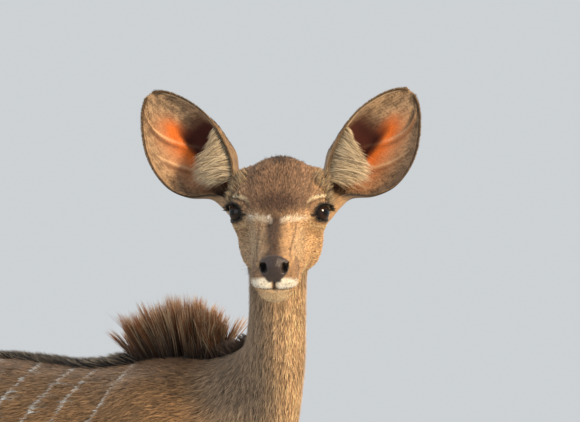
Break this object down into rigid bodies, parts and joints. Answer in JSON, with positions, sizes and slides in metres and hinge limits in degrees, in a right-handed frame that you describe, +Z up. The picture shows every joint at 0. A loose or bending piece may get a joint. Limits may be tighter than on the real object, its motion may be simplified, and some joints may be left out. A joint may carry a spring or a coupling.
{
  "type": "greater kudu",
  "caption": "Young hornless greater kudu cow standing alert, head turned to her right, large cupped ears spread, short mane on neck and withers.",
  "frame": {"origin": "on the floor, under the middle of the whole animal's box", "axes": "+Z up, +X the way the chest points, +Y to the animal's left"},
  "size_m": [1.3468, 0.4704, 1.5938],
  "materials": {
    "coat": "short hair, brown to sandy, with thin pale stripes",
    "ear": "thin velvet-haired skin, warm inside",
    "eye": "wet dark eye",
    "hoof": "dark horn, satin",
    "mane": "coarse hair, dark at the roots and rust at the tips"
  },
  "bodies": {
    "root": {"torso": "coat", "neck": "coat", "eye_right": "eye", "eye_left": "eye", "head": "coat", "ear_right": "ear", "ear_left": "ear", "hoof_foreleg_right_outer": "hoof", "hoof_foreleg_right_inner": "hoof", "foreleg_right": "coat", "hoof_foreleg_left_inner": "hoof", "hoof_foreleg_left_outer": "hoof", "foreleg_left": "coat", "hoof_hindleg_right_outer": "hoof", "hoof_hindleg_right_inner": "hoof", "hindleg_right": "coat", "hoof_hindleg_left_inner": "hoof", "hoof_hindleg_left_outer": "hoof", "hindleg_left": "coat", "tail": "coat", "mane_nape": "mane", "mane_withers": "mane", "crest_back": "mane"}
  },
  "joints": []
}
